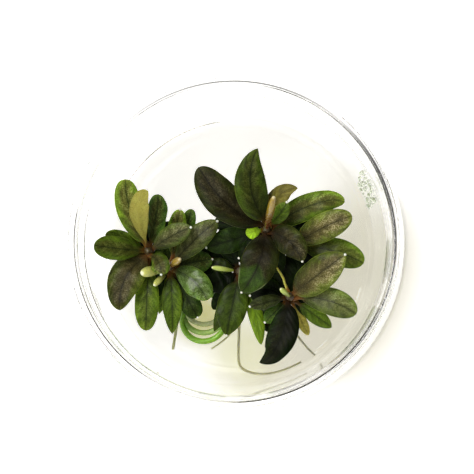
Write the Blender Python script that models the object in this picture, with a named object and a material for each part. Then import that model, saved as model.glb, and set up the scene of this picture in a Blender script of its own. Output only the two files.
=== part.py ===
"""Bucephalandra plantlets growing in an open clear culture cup.

Six short upright rhizomes root in a layer of clear gel. Each carries its leaves in a rosette, and the
youngest leaves are still rolled. The origin is the centre of the cup's foot, +X is the photograph's
right, +Y its top and +Z is up.

Lengths below are in millimetres and angles in degrees. Meshes are made in metres.
"""

from collections import namedtuple
from math import cos, pi, radians, sin

import bmesh
import bpy
from mathutils import Matrix, Vector

MM = 0.001

# Cup: 60 high, 98 across its rim edge, with a skirt that flares out below the rim
CUP_SEGMENTS = 44
RIM_RADIUS = 49.0
RIM_HEIGHT = 60.0
SKIRT_RADIUS = 52.4
SKIRT_DROP = 9.8
SKIRT_THICKNESS = 0.9
WALL = 0.9
LEDGE_HEIGHT = 47.0
LEDGE_STEP = 1.0
NECK_RADIUS = 48.6
BASE_RADIUS = 44.6
BASE_CORNER = 3.2
FLOOR_UNDERSIDE = 1.0
FLOOR_TOP = 2.0
FOOT_OUTER = 41.8
FOOT_INNER = 39.5
CORNER_CHAMFER = 0.8
CORNER_HEIGHT = 1.2
FLOOR_FILLET = 1.4
FLOOR_EDGE = 3.0
INNER_STEP = 0.4
RIM_WIDTH = 1.7
RIM_DEPTH = 2.0
RIM_ROUND = 0.4

# Gel: a clear disc that fills the foot of the cup
GAP = 0.3
GEL_SEGMENTS = 44
GEL_TOP = 9.0
GEL_MENISCUS = 0.7
GEL_EDGE = 2.5
GEL_TO_ROOT = 0.35

# Rhizomes and roots
STEM_RADIUS = 1.25
STEM_SIDES = 8
STEM_FOOT_HEIGHT = 4.0
STEM_STRAIGHT = 10.0
STEM_STATIONS = 9
STEM_POINT = 0.5
STEM_LEAN_POWER = 1.6
NODE_SWELLING = 0.12
NODE_PITCH = 2.0
ROOT_SIDES = 5
ROOT_STATIONS = 6
ROOT_DIVE = 2.2
ROOT_TAPER = 0.35

# Leaf blades
FOLD = 0.20
CURL = 0.26
BLADE_THICKNESS = 0.75
STALK_HALF_WIDTH = 0.55
STALK_THICKNESS = 0.95
BASE_FULLNESS = 0.66
TIP_FULLNESS = 0.62
BLADE_STATIONS = (0.1, 0.28, 0.52, 0.76, 0.93)
SECTION = (-1.0, -0.5, 0.0, 0.5, 1.0)
STALK_RING = 0.7
MIDRIB_STEP = 0.01
ROLLED_SIDES = 6
ROLLED_STATIONS = (0.0, 0.25, 0.55, 0.8, 0.94)
ROLLED_FOOT = 0.55
ROLLED_SWELL = 0.9
ROLLED_CLOSE = 0.6

# One row for each leaf: the direction that it grows in, its reach from the stem in plan, its width,
# the heights of its foot and tip, how far its middle arches up and sways left of a straight line, its
# roll about the midrib, the plan length of its stalk, and its colour.
Leaf = namedtuple("Leaf", "turn reach width foot tip arch sway roll stalk tone")

# A young leaf is still rolled into a spear: width is its diameter.
Rolled = namedtuple("Rolled", "turn reach width foot tip arch start tone")

# One row for each root: where it leaves the stem, its direction, its reach, the height of its end, how
# far it sways left on the way, and its radius.
Root = namedtuple("Root", "height turn reach end sway radius")

Shoot = namedtuple("Shoot", "x y top foot_x foot_y leaves rolled roots")

SHOOTS = {
    "a": Shoot(
        x=-28.3, y=-0.9, top=31, foot_x=-25, foot_y=-5,
        leaves=[
            Leaf(105, 22.2, 8.0, 29.3, 44, 2.0, 1.5, 12, 3.0, "green"),
            Leaf(88, 17.2, 6.6, 30.6, 52, 2.5, 2.0, 165, 4.0, "olive"),
            Leaf(77, 17.4, 6.2, 27.6, 40, 2.0, -0.7, -25, 3.0, "dark"),
            Leaf(26, 15.6, 6.8, 29.0, 38, 2.5, 0.4, 8, 1.6, "grey"),
            Leaf(-50, 7.6, 4.8, 30.0, 34, 1.6, 1.2, 10, 1.2, "green"),
            Leaf(-95, 25.0, 7.8, 24.0, 24, 2.0, 0.0, 0, 8.0, "green"),
            Leaf(-115, 20.9, 10.2, 27.0, 31, 2.0, -2.2, 5, 1.6, "brown"),
            Leaf(176, 16.2, 7.6, 28.6, 41, 1.5, 0.3, -6, 1.6, "green"),
            Leaf(160, 14.0, 6.0, 25.6, 35, 1.0, -0.4, 15, 2.6, "green"),
        ],
        rolled=[],
        roots=[
            Root(9, 240, 13, 4.0, 2.0, 0.5),
            Root(7, 150, 9, 3.6, -2.0, 0.45),
        ],
    ),
    "b": Shoot(
        x=-21.6, y=-5.7, top=27, foot_x=-17, foot_y=-9,
        leaves=[
            Leaf(42, 20.8, 7.8, 26.0, 33, 3.0, 0.4, -8, 3.0, "grey"),
            Leaf(79, 18.2, 5.8, 22.6, 31, 1.5, 0.0, 0, 6.0, "green"),
            Leaf(70, 19.4, 4.8, 20.4, 27, 1.5, -0.4, 0, 8.0, "dark"),
            Leaf(10, 13.6, 7.6, 23.4, 24, 1.5, 0.0, -12, 2.6, "dark"),
            Leaf(-42, 16.2, 8.4, 25.6, 27, 2.6, 1.6, 6, 1.6, "gloss"),
            Leaf(-57, 17.8, 6.4, 21.8, 21, 1.5, 0.0, 0, 4.0, "dark"),
            Leaf(-88, 20.9, 6.4, 23.4, 20, 2.5, 0.4, 0, 4.0, "green"),
            Leaf(-105, 15.5, 4.2, 19.6, 18, 1.0, 0.0, 0, 5.0, "green"),
            Leaf(112, 9.6, 6.6, 18.4, 19, 1.0, 0.0, 0, 2.0, "dark"),
        ],
        rolled=[
            Rolled(23, 4.4, 2.6, 28.1, 38, 0.3, 0.2, "tan"),
            Rolled(197, 9.0, 3.6, 24.4, 34, 1.0, 2.9, "pale"),
            Rolled(233, 8.0, 2.2, 22.0, 30, 1.0, 2.4, "pale"),
        ],
        roots=[
            Root(9, 265, 25, 5.0, 0.6, 0.6),
            Root(8, 120, 11, 4.0, 2.0, 0.45),
        ],
    ),
    "c": Shoot(
        x=9.6, y=5.7, top=37, foot_x=7, foot_y=0,
        leaves=[
            Leaf(139, 27.7, 12.0, 35.4, 48, 3.0, 3.2, -6, 2.0, "brown"),
            Leaf(96, 23.7, 9.5, 36.6, 51, 3.0, 3.3, 8, 2.4, "green"),
            Leaf(54, 15.6, 6.0, 33.4, 42, 2.0, 1.8, -15, 3.0, "olive"),
            Leaf(50, 10.0, 4.8, 35.8, 44, 1.6, -0.6, 0, 2.0, "green"),
            Leaf(22, 26.0, 7.6, 30.6, 33, 2.5, 1.7, 0, 4.0, "green"),
            Leaf(-42, 15.1, 7.4, 35.2, 37, 2.6, 2.2, 10, 1.2, "brown"),
            Leaf(-112, 21.5, 11.6, 33.6, 32, 3.0, 1.8, -4, 1.2, "brown"),
            Leaf(-135, 12.7, 5.0, 31.2, 30, 1.4, 0.0, 15, 2.5, "dark"),
            Leaf(196, 20.2, 8.0, 29.4, 28, 2.0, 0.0, -10, 5.0, "dark"),
            Leaf(192, 6.8, 4.4, 32.6, 33, 1.0, 0.0, 0, 2.0, "lime"),
        ],
        rolled=[
            Rolled(73, 9.1, 2.7, 38.1, 54, 1.0, 0.2, "tan"),
        ],
        roots=[
            Root(9, 150, 10, 4.0, 2.0, 0.45),
            Root(8, -40, 12, 4.0, -2.0, 0.45),
        ],
    ),
    "d": Shoot(
        x=16.7, y=-15.4, top=29, foot_x=12, foot_y=-13,
        leaves=[
            Leaf(36, 21.4, 10.2, 28.2, 39, 2.4, 0.0, -4, 1.0, "brown"),
            Leaf(-10, 21.8, 8.8, 26.4, 30, 2.5, 1.8, 0, 5.0, "grey"),
            Leaf(-36, 16.0, 5.2, 21.6, 20, 1.6, 0.0, 0, 6.0, "green"),
            Leaf(249, 23.0, 10.0, 27.4, 29, 2.5, 3.2, 6, 2.0, "dark"),
            Leaf(194, 13.1, 5.0, 25.4, 27, 1.6, 0.0, -30, 3.0, "grey"),
            Leaf(178, 12.8, 5.0, 22.6, 22, 1.0, 0.0, 0, 3.0, "dark"),
            Leaf(225, 11.4, 5.0, 22.0, 21, 1.0, 0.0, 0, 3.0, "dark"),
            Leaf(-60, 12.6, 3.2, 18.6, 17, 1.2, 0.0, 0, 5.0, "olive"),
        ],
        rolled=[
            Rolled(142, 3.6, 1.8, 30.1, 35, 0.2, 0.2, "lime"),
        ],
        roots=[
            Root(9, 250, 14, 4.0, 1.0, 0.45),
            Root(8, -61, 23, 3.8, -2.0, 0.5),
        ],
    ),
    "e": Shoot(
        x=17.0, y=0.5, top=28, foot_x=16, foot_y=-3,
        leaves=[
            Leaf(26, 20.7, 8.8, 27.4, 38, 3.0, 0.6, 6, 3.0, "brown"),
            Leaf(-10, 23.8, 8.4, 25.0, 28, 2.5, 1.6, 0, 6.0, "green"),
            Leaf(-26, 11.2, 6.0, 22.8, 26, 1.2, 0.0, 10, 2.5, "dark"),
            Leaf(-108, 14.6, 8.2, 20.6, 20, 1.4, 0.6, 0, 2.0, "dark"),
        ],
        rolled=[],
        roots=[
            Root(8, 20, 11, 4.0, -2.0, 0.45),
        ],
    ),
    "m": Shoot(
        x=0.6, y=-7.1, top=23, foot_x=0, foot_y=-9,
        leaves=[
            Leaf(163, 10.2, 4.8, 20.4, 21, 1.0, 0.0, 0, 2.0, "green"),
            Leaf(206, 11.0, 8.4, 19.8, 20, 1.4, 0.0, 0, 1.6, "dark"),
            Leaf(257, 21.0, 9.0, 21.6, 20, 2.0, 0.0, 0, 4.0, "green"),
            Leaf(246, 21.0, 5.0, 18.2, 16, 1.0, 0.0, 0, 5.0, "green"),
            Leaf(-75, 24.2, 4.8, 19.0, 18, 1.0, 0.0, 0, 8.0, "lime"),
            Leaf(-92, 13.0, 6.4, 15.4, 15, 1.0, 0.0, 0, 2.0, "dark"),
        ],
        rolled=[
            Rolled(173, 9.0, 1.7, 22.2, 26, 0.3, 2.2, "lime"),
        ],
        roots=[
            Root(9, 248, 26, 4.4, 5.0, 0.4),
            Root(9, -74, 23, 6.4, 0.6, 0.5),
        ],
    ),
}

# The longest root leaves the middle shoot, bends at the cup's wall and follows it round.
WALL_ROOT_RADIUS = 0.5
WALL_ROOT_RING = 41.3
WALL_ROOT_BEND = 4.0
WALL_ROOT_HEIGHT = 4.4
WALL_ROOT_SPAN = (-91, -61)
WALL_ROOT_POINTS = 9

# The thick green root of the second shoot lies coiled in the top of the gel.
COIL_ROOT_RADIUS = 0.62
COIL_CENTRE = (-12.3, -22.0)
COIL_RADII = (7.7, 5.0)
COIL_HEIGHTS = (8.7, 6.4)
COIL_SPAN = (120, 490)
COIL_POINTS = 14

# Colours of the pieces, as red, green and blue from 0 to 1, with their roughness
TONES = {
    "green": ((0.045, 0.085, 0.015), 0.35),
    "dark": ((0.014, 0.030, 0.010), 0.32),
    "brown": ((0.040, 0.036, 0.016), 0.38),
    "grey": ((0.055, 0.075, 0.040), 0.30),
    "gloss": ((0.060, 0.100, 0.050), 0.22),
    "olive": ((0.150, 0.150, 0.045), 0.42),
    "lime": ((0.220, 0.420, 0.050), 0.35),
    "tan": ((0.350, 0.190, 0.060), 0.35),
    "pale": ((0.560, 0.540, 0.220), 0.25),
}
STEM_COLOUR = (0.120, 0.090, 0.030)
CLEAR_COLOUR = (0.95, 0.96, 0.95)
GEL_COLOUR = (0.94, 0.95, 0.90)


def clear_scene():
    for obj in list(bpy.data.objects):
        bpy.data.objects.remove(obj, do_unlink=True)


def material(name, colour, roughness, clear=0.0):
    """A Principled material, made once for each name."""
    if name in bpy.data.materials:
        return bpy.data.materials[name]
    made = bpy.data.materials.new(name)
    made.use_nodes = True
    shader = made.node_tree.nodes["Principled BSDF"]
    shader.inputs["Base Color"].default_value = (*colour, 1.0)
    shader.inputs["Roughness"].default_value = roughness
    shader.inputs["Metallic"].default_value = 0.0
    shader.inputs["Transmission Weight"].default_value = clear
    return made


def add_object(name, points, faces, finish):
    """An object from points in millimetres, with its faces turned outwards."""
    mesh = bpy.data.meshes.new(name)
    mesh.from_pydata([Vector(point) * MM for point in points], [], faces)
    work = bmesh.new()
    work.from_mesh(mesh)
    bmesh.ops.recalc_face_normals(work, faces=work.faces)
    work.to_mesh(mesh)
    work.free()
    mesh.shade_smooth()
    mesh.materials.append(finish)
    obj = bpy.data.objects.new(name, mesh)
    bpy.context.scene.collection.objects.link(obj)
    return obj


def add_boolean(obj, operation, other):
    """Joins another object to this one, or cuts it away, and hides that helper."""
    change = obj.modifiers.new(f"{operation.lower()} {other.name}", "BOOLEAN")
    change.operation = operation
    change.object = other
    other.hide_render = True
    other.display_type = "WIRE"


def lathe(profile, segments):
    """Points and faces of a closed turned solid; the profile starts and ends on the axis."""
    points = [(0.0, 0.0, profile[0][1])]
    for radius, height in profile[1:-1]:
        for step in range(segments):
            angle = 2 * pi * step / segments
            points.append((radius * cos(angle), radius * sin(angle), height))
    points.append((0.0, 0.0, profile[-1][1]))
    rings = len(profile) - 2
    top = len(points) - 1
    faces = []
    for step in range(segments):
        after = (step + 1) % segments
        faces.append((0, 1 + after, 1 + step))
        for ring in range(rings - 1):
            low = 1 + ring * segments
            high = low + segments
            faces.append((low + step, low + after, high + after, high + step))
        last = 1 + (rings - 1) * segments
        faces.append((last + step, last + after, top))
    return points, faces


def wall_radius(height):
    """Radius of the cup's outer wall between its bottom corner and the ledge."""
    share = (height - BASE_CORNER) / (LEDGE_HEIGHT - BASE_CORNER)
    return BASE_RADIUS + share * (NECK_RADIUS - LEDGE_STEP - BASE_RADIUS)


def cup_profile():
    """The cup's section: under the floor, up outside, down and up the skirt, then down inside."""
    ledge_radius = NECK_RADIUS - LEDGE_STEP
    ledge_top = LEDGE_HEIGHT + INNER_STEP
    skirt_foot = RIM_HEIGHT - SKIRT_DROP
    rim_underside = RIM_HEIGHT - RIM_DEPTH
    return [
        (0.0, FLOOR_UNDERSIDE),
        (FOOT_INNER - FLOOR_UNDERSIDE, FLOOR_UNDERSIDE),
        (FOOT_INNER, 0.0),
        (FOOT_OUTER, 0.0),
        (BASE_RADIUS - CORNER_CHAMFER, CORNER_HEIGHT),
        (BASE_RADIUS, BASE_CORNER),
        (ledge_radius, LEDGE_HEIGHT),
        (NECK_RADIUS, LEDGE_HEIGHT + LEDGE_STEP),
        (RIM_RADIUS, rim_underside),
        (RIM_RADIUS + RIM_WIDTH / 2, rim_underside),
        (SKIRT_RADIUS - SKIRT_THICKNESS, skirt_foot),
        (SKIRT_RADIUS, skirt_foot),
        (RIM_RADIUS + RIM_WIDTH, rim_underside + RIM_WIDTH / 2),
        (RIM_RADIUS + RIM_WIDTH / 2, RIM_HEIGHT - RIM_ROUND / 2),
        (RIM_RADIUS, RIM_HEIGHT),
        (RIM_RADIUS - RIM_ROUND * 2, RIM_HEIGHT - RIM_ROUND),
        (NECK_RADIUS - WALL, RIM_HEIGHT - RIM_DEPTH * 1.5),
        (NECK_RADIUS - WALL, ledge_top + LEDGE_STEP),
        (ledge_radius - WALL, ledge_top),
        (wall_radius(BASE_CORNER + WALL) - WALL, BASE_CORNER + WALL),
        (BASE_RADIUS - WALL - FLOOR_FILLET, FLOOR_TOP + INNER_STEP),
        (BASE_RADIUS - WALL - FLOOR_EDGE, FLOOR_TOP),
        (0.0, FLOOR_TOP),
    ]


def make_cup():
    points, faces = lathe(cup_profile(), CUP_SEGMENTS)
    cup = add_object("cup", points, faces, material("cup clear plastic", CLEAR_COLOUR, 0.05, 1.0))
    cup.data.set_sharp_from_angle(angle=radians(35))
    return cup


def gel_profile():
    """The gel's section, a gap inside the cup's, with the rim of its top drawn up the wall."""
    low_edge = wall_radius(BASE_CORNER + WALL) - WALL - 1.5 * GAP
    high_edge = wall_radius(GEL_TOP + GEL_MENISCUS) - WALL - GAP
    return [
        (0.0, FLOOR_TOP + GAP),
        (BASE_RADIUS - WALL - FLOOR_EDGE - GAP, FLOOR_TOP + GAP),
        (low_edge, BASE_CORNER + WALL + GAP),
        (high_edge, GEL_TOP + GEL_MENISCUS),
        (high_edge - GEL_EDGE, GEL_TOP),
        (0.0, GEL_TOP),
    ]


def make_gel(cutters):
    """The gel, with an open pocket round every stem and root that stands in it."""
    points, faces = lathe(gel_profile(), GEL_SEGMENTS)
    gel = add_object("gel", points, faces, material("gel", GEL_COLOUR, 0.08, 1.0))
    gel.data.set_sharp_from_angle(angle=radians(35))
    for cutter in cutters:
        add_boolean(gel, "DIFFERENCE", cutter)
    return gel


def side_frame(tangent, roll=0.0):
    """The level side direction and the upward one, square to a direction, turned about it by a roll."""
    side = Vector((0, 0, 1)).cross(tangent)
    side = side.normalized() if side.length > 1e-4 else Vector((0, 1, 0))
    up = tangent.cross(side).normalized()
    turn = Matrix.Rotation(radians(roll), 3, tangent)
    return turn @ side, turn @ up


def tangents(path):
    found = []
    for index in range(len(path)):
        before = path[max(index - 1, 0)]
        after = path[min(index + 1, len(path) - 1)]
        found.append((after - before).normalized())
    return found


def tube(path, radii, sides, point):
    """Points and faces of a closed tube along a path, with a flat foot and an end this much pointed."""
    points = []
    for centre, radius, tangent in zip(path, radii, tangents(path)):
        side, up = side_frame(tangent)
        for step in range(sides):
            angle = 2 * pi * step / sides
            points.append(centre + side * radius * cos(angle) + up * radius * sin(angle))
    faces = [tuple(range(sides))]
    last = (len(path) - 1) * sides
    for ring in range(len(path) - 1):
        low = ring * sides
        high = low + sides
        for step in range(sides):
            after = (step + 1) % sides
            faces.append((low + step, low + after, high + after, high + step))
    points.append(path[-1] + tangents(path)[-1] * point)
    for step in range(sides):
        faces.append((last + step, last + (step + 1) % sides, len(points) - 1))
    return points, faces


def growth_point(plant, distance, turn, height, sway=0.0):
    """The point at a plan distance from a shoot's stem, in a direction and at a height."""
    out = Vector((cos(radians(turn)), sin(radians(turn)), 0))
    left = Vector((-out.y, out.x, 0))
    return Vector((plant.x, plant.y, height)) + out * distance + left * sway


def midrib(plant, leaf, share):
    """A point of the leaf's midrib, from its foot at 0 to its tip at 1."""
    start = STEM_RADIUS + NODE_SWELLING + GAP
    bulge = 4 * share * (1 - share)
    height = leaf.foot + (leaf.tip - leaf.foot) * share + leaf.arch * bulge
    distance = start + (leaf.reach - start) * share
    return growth_point(plant, distance, leaf.turn, height, leaf.sway * bulge)


def blade_fullness(share):
    """The blade's width along its length, as a share of its greatest width."""
    widest = BASE_FULLNESS / (BASE_FULLNESS + TIP_FULLNESS)
    most = widest**BASE_FULLNESS * (1 - widest) ** TIP_FULLNESS
    return share**BASE_FULLNESS * (1 - share) ** TIP_FULLNESS / most


def leaf_rings(plant, leaf):
    """For each station of a leaf: share of its length, half width, thickness and roll."""
    stalk_share = leaf.stalk / leaf.reach
    rings = [
        (0.0, STALK_HALF_WIDTH, STALK_THICKNESS, 0.0),
        (stalk_share * STALK_RING, STALK_HALF_WIDTH, STALK_THICKNESS, leaf.roll / 2),
    ]
    for station in BLADE_STATIONS:
        half_width = max(leaf.width / 2 * blade_fullness(station), STALK_HALF_WIDTH)
        share = stalk_share + (1 - stalk_share) * station
        rings.append((share, half_width, BLADE_THICKNESS, leaf.roll))
    return rings


def make_leaf(name, plant, leaf):
    """A leaf as one thin solid: a stalk, and a blade folded along its midrib with arched halves."""
    rings = leaf_rings(plant, leaf)
    points = []
    for share, half_width, thickness, roll in rings:
        centre = midrib(plant, leaf, share)
        ahead = midrib(plant, leaf, share + MIDRIB_STEP)
        side, up = side_frame((ahead - centre).normalized(), roll)
        for place in SECTION:
            rise = half_width * (FOLD * abs(place) - CURL * place**2)
            half = thickness / 2 * (1 - place**2)
            points.append(centre + side * (half_width * place) + up * (rise + half))
        points.append(centre - up * thickness / 2)
    around = len(SECTION) + 1
    faces = [tuple(range(around))]
    for ring in range(len(rings) - 1):
        low = ring * around
        for step in range(around):
            after = (step + 1) % around
            faces.append((low + step, low + after, low + around + after, low + around + step))
    last = (len(rings) - 1) * around
    points.append(midrib(plant, leaf, 1.0))
    for step in range(around):
        faces.append((last + step, last + (step + 1) % around, len(points) - 1))
    colour, roughness = TONES[leaf.tone]
    return add_object(name, points, faces, material(f"leaf {leaf.tone}", colour, roughness))


def make_rolled_leaf(name, plant, leaf):
    """A young leaf, rolled into a spear that swells and then narrows to its point."""
    path = []
    radii = []
    for share in ROLLED_STATIONS:
        height = leaf.foot + (leaf.tip - leaf.foot) * share + leaf.arch * 4 * share * (1 - share)
        distance = leaf.start + (leaf.reach - leaf.start) * share
        path.append(growth_point(plant, distance, leaf.turn, height))
        swell = ROLLED_FOOT + ROLLED_SWELL * share
        radii.append(leaf.width / 2 * swell * (1 - share**3) ** ROLLED_CLOSE)
    points, faces = tube(path, radii, ROLLED_SIDES, leaf.width / 2)
    colour, roughness = TONES[leaf.tone]
    return add_object(name, points, faces, material(f"leaf {leaf.tone}", colour, roughness))


def stem_path(plant):
    """The rhizome's line: it leans from its foot in the gel, and is upright where the leaves grow."""
    bend_height = plant.top - STEM_STRAIGHT
    path = []
    for step in range(STEM_STATIONS):
        share = step / (STEM_STATIONS - 1)
        height = STEM_FOOT_HEIGHT + (plant.top - STEM_FOOT_HEIGHT) * share
        lean = max(0.0, (bend_height - height) / (bend_height - STEM_FOOT_HEIGHT)) ** STEM_LEAN_POWER
        x = plant.x + (plant.foot_x - plant.x) * lean
        y = plant.y + (plant.foot_y - plant.y) * lean
        path.append(Vector((x, y, height)))
    return path


def stem_point(plant, height):
    path = stem_path(plant)
    return min(path, key=lambda point: abs(point.z - height))


def root_path(plant, root):
    """A root's line, from inside the stem out and down into the gel."""
    start = stem_point(plant, root.height)
    out = Vector((cos(radians(root.turn)), sin(radians(root.turn)), 0))
    left = Vector((-out.y, out.x, 0))
    path = []
    for step in range(ROOT_STATIONS):
        share = step / (ROOT_STATIONS - 1)
        drop = (start.z - root.end) * (1 - (1 - share) ** ROOT_DIVE)
        sway = root.sway * 4 * share * (1 - share)
        path.append(start + out * root.reach * share + left * sway - Vector((0, 0, drop)))
    return path


def wall_root_path(plant):
    """The long root's line: down to the cup's wall, then along it."""
    start = stem_point(plant, GEL_TOP + 1)
    first, last = WALL_ROOT_SPAN
    path = [start]
    landing = (WALL_ROOT_RING - WALL_ROOT_BEND) * Vector((cos(radians(first)), sin(radians(first)), 0))
    for share in (0.25, 0.5, 0.75):
        drop = (start.z - WALL_ROOT_HEIGHT) * (1 - (1 - share) ** ROOT_DIVE)
        level = start.lerp(landing, share)
        path.append(Vector((level.x, level.y, start.z - drop)))
    for step in range(WALL_ROOT_POINTS):
        share = step / (WALL_ROOT_POINTS - 1)
        angle = radians(first + (last - first) * share)
        ring = WALL_ROOT_RING - WALL_ROOT_BEND * (1 - share) ** 4
        path.append(Vector((ring * cos(angle), ring * sin(angle), WALL_ROOT_HEIGHT)))
    return path


def coil_root_path(plant):
    """The coiled root's line: out of the stem, then round in a narrowing and sinking ring."""
    path = [stem_point(plant, COIL_HEIGHTS[0] + 1)]
    first, last = COIL_SPAN
    for step in range(COIL_POINTS):
        share = step / (COIL_POINTS - 1)
        angle = radians(first + (last - first) * share)
        ring = COIL_RADII[0] + (COIL_RADII[1] - COIL_RADII[0]) * share
        height = COIL_HEIGHTS[0] + (COIL_HEIGHTS[1] - COIL_HEIGHTS[0]) * share
        x = COIL_CENTRE[0] + ring * cos(angle)
        y = COIL_CENTRE[1] + ring * sin(angle)
        path.append(Vector((x, y, height)))
    return path


def add_tube(name, path, radii, sides, point, finish):
    points, faces = tube(path, radii, sides, point)
    return add_object(name, points, faces, finish)


def make_rhizome(name, plant, long_roots):
    """A rhizome with its roots fused to it. Gives the wider copies that open the gel round it."""
    finish = material("rhizome", STEM_COLOUR, 0.5)
    path = stem_path(plant)
    radii = []
    for point in path:
        ring = cos(2 * pi * point.z / NODE_PITCH)
        radii.append(STEM_RADIUS + NODE_SWELLING * ring)
    rhizome = add_tube(name, path, radii, STEM_SIDES, STEM_POINT, finish)
    sleeve_radii = [radius + GEL_TO_ROOT for radius in radii]
    sleeve_path = [path[0] - Vector((0, 0, GEL_TO_ROOT))] + path[1:]
    sleeves = [add_tube(f"{name} sleeve", sleeve_path, sleeve_radii, STEM_SIDES, STEM_POINT, finish)]
    lines = [(root_path(plant, root), root.radius) for root in plant.roots]
    lines.extend(long_roots)
    for number, (line, radius) in enumerate(lines, 1):
        thin = [radius * (1 - ROOT_TAPER * index / len(line)) for index in range(len(line))]
        root = add_tube(f"{name} root {number}", line, thin, ROOT_SIDES, radius, finish)
        add_boolean(rhizome, "UNION", root)
        wide = [value + GEL_TO_ROOT for value in thin]
        longer = line[:-1] + [line[-1] + (line[-1] - line[-2]).normalized() * GEL_TO_ROOT]
        sleeves.append(add_tube(f"{name} sleeve {number}", longer, wide, ROOT_SIDES, radius, finish))
    return sleeves


def main():
    clear_scene()
    bpy.context.scene.unit_settings.scale_length = 1.0
    make_cup()
    long_roots = {
        "b": [(coil_root_path(SHOOTS["b"]), COIL_ROOT_RADIUS)],
        "m": [(wall_root_path(SHOOTS["m"]), WALL_ROOT_RADIUS)],
    }
    cutters = []
    for letter, plant in SHOOTS.items():
        cutters.extend(make_rhizome(f"rhizome_{letter}", plant, long_roots.get(letter, [])))
        for number, leaf in enumerate(plant.leaves, 1):
            make_leaf(f"leaf_{letter}{number}", plant, leaf)
        for number, leaf in enumerate(plant.rolled, 1):
            make_rolled_leaf(f"young_leaf_{letter}{number}", plant, leaf)
    make_gel(cutters)


main()
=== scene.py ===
"""The looks of bucephalandra plantlets in an open clear culture cup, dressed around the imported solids.

Lengths are in millimetres and angles in degrees, as in the part's own source, and MM turns them into the
frame's metres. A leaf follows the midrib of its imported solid, where it has one, and so sits where that does.
"""

from collections import namedtuple
from math import cos, pi, radians, sin
from random import Random

import bpy
import numpy as np
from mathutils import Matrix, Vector


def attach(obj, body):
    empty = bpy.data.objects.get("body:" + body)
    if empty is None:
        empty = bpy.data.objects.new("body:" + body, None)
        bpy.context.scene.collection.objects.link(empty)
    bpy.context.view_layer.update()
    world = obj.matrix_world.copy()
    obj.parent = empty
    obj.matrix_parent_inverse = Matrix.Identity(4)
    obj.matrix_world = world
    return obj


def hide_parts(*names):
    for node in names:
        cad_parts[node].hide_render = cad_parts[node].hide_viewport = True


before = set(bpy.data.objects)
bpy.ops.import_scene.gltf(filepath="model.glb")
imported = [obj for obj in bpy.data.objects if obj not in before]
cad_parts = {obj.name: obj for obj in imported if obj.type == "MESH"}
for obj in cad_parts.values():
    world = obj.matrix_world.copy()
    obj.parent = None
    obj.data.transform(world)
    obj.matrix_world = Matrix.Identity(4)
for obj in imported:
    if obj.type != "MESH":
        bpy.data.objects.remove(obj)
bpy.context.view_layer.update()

MM = 0.001
BODY = "root"

# Cup
CUP_SEGMENTS = 480
RIM_RADIUS = 49.0
RIM_HEIGHT = 60.0
SKIRT_RADIUS = 52.4
SKIRT_DROP = 9.8
SKIRT_THICKNESS = 0.9
WALL = 0.9
LEDGE_HEIGHT = 47.0
LEDGE_STEP = 1.0
NECK_RADIUS = 48.6
BASE_RADIUS = 44.6
BASE_CORNER = 3.2
FLOOR_UNDERSIDE = 1.0
FLOOR_TOP = 2.0
FOOT_OUTER = 41.8
FOOT_INNER = 39.5
CORNER_HEIGHT = 1.0
FLOOR_FILLET = 1.4
FLOOR_EDGE = 3.0
INNER_STEP = 0.4
RIM_WIDTH = 1.7
RIM_DEPTH = 2.0
RIM_ROUND = 0.4
RIM_BEVEL = 0.5
NOTCH_WIDTH = 0.62
NOTCH_DEPTH = 0.58
NOTCH_ROUNDING = 0.04
LEDGE_RISE = 3.2
FOOT_SLOPE = 3.0
CORNER_ROUNDING = 0.45
LEDGE_ROUNDING = 0.9
CORNER_STEPS = 4
MOST_ROUNDING = 0.3
SKIRT_RIBS = 120
SKIRT_RIB_DEPTH = 0.08

# Gel
GEL_SEGMENTS = 160
GEL_IN_WALL = 0.05
GEL_TOP = 9.0
GEL_MENISCUS = 0.15
GEL_EDGE = 2.5
GEL_RINGS = 40
GEL_WAVES = 0.05

# How many radians the gel's faint waves turn in a millimetre along x and y, and where the first starts
GEL_WAVE_TURNS = (0.31, 0.27)
SLANTED_WAVE_TURNS = (0.13, -0.21)
GEL_WAVE_START = 1.0

# Condensation on the wall: where it lies, as directions and heights, and the drops' radii
DROP_SPAN = (17.0, 31.0)
DROP_HEIGHTS = (14.0, 40.0)
DROP_RADII = (0.15, 0.6)
DROP_COUNT = 120
DROP_SEED = 7
DROP_INSET = 0.55

# Rhizomes and roots
STEM_RADIUS = 1.25
STEM_SIDES = 20
STEM_FOOT_HEIGHT = 4.0
STEM_STRAIGHT = 10.0
STEM_STATIONS = 64
STEM_LEAN_POWER = 1.6
NODE_SWELLING = 0.12
NODE_PITCH = 2.0
GAP = 0.3
ROOT_SIDES = 12
ROOT_STATIONS = 26
ROOT_DIVE = 2.2
ROOT_TAPER = 0.35
SOLID_STATIONS = 9
STEM_TIP_RADII = (0.96, 0.85, 0.6)

# A direction that no strand takes, from which the points round each one are counted
TUBE_REFERENCE = (0.31, 0.17, 0.94)

# The longest root, which follows the cup's wall, and how it comes to it
WALL_ROOT_RADIUS = 0.5
WALL_ROOT_RING = 41.3
WALL_ROOT_BEND = 4.0
WALL_ROOT_HEIGHT = 4.4
WALL_ROOT_SPAN = (-91, -61)
WALL_ROOT_STATIONS = 36

# The coil of the thick green root
COIL_ROOT_RADIUS = 1.0
COIL_CENTRE = (-11.4, -23.3)
COIL_RADII = (7.3, 7.0)
COIL_DRIFT = (0.4, 8.4)
COIL_HEIGHTS = (9.4, 8.9)
COIL_SPAN = (120, 1240)
COIL_STATIONS = 260
COIL_LEAD_STATIONS = 16
COIL_PALING = 0.6
COIL_TAPER = 0.2
SOFTENING_PASSES = 6

# A strand's kind, by which its colour goes, and how thick a green root is at least
STEM_KIND = 0.0
ROOT_KIND = 1.0
GREEN_ROOT_KIND = 1.45
COIL_KIND = 2.0
GREEN_ROOT_RADIUS = 0.6

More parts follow.
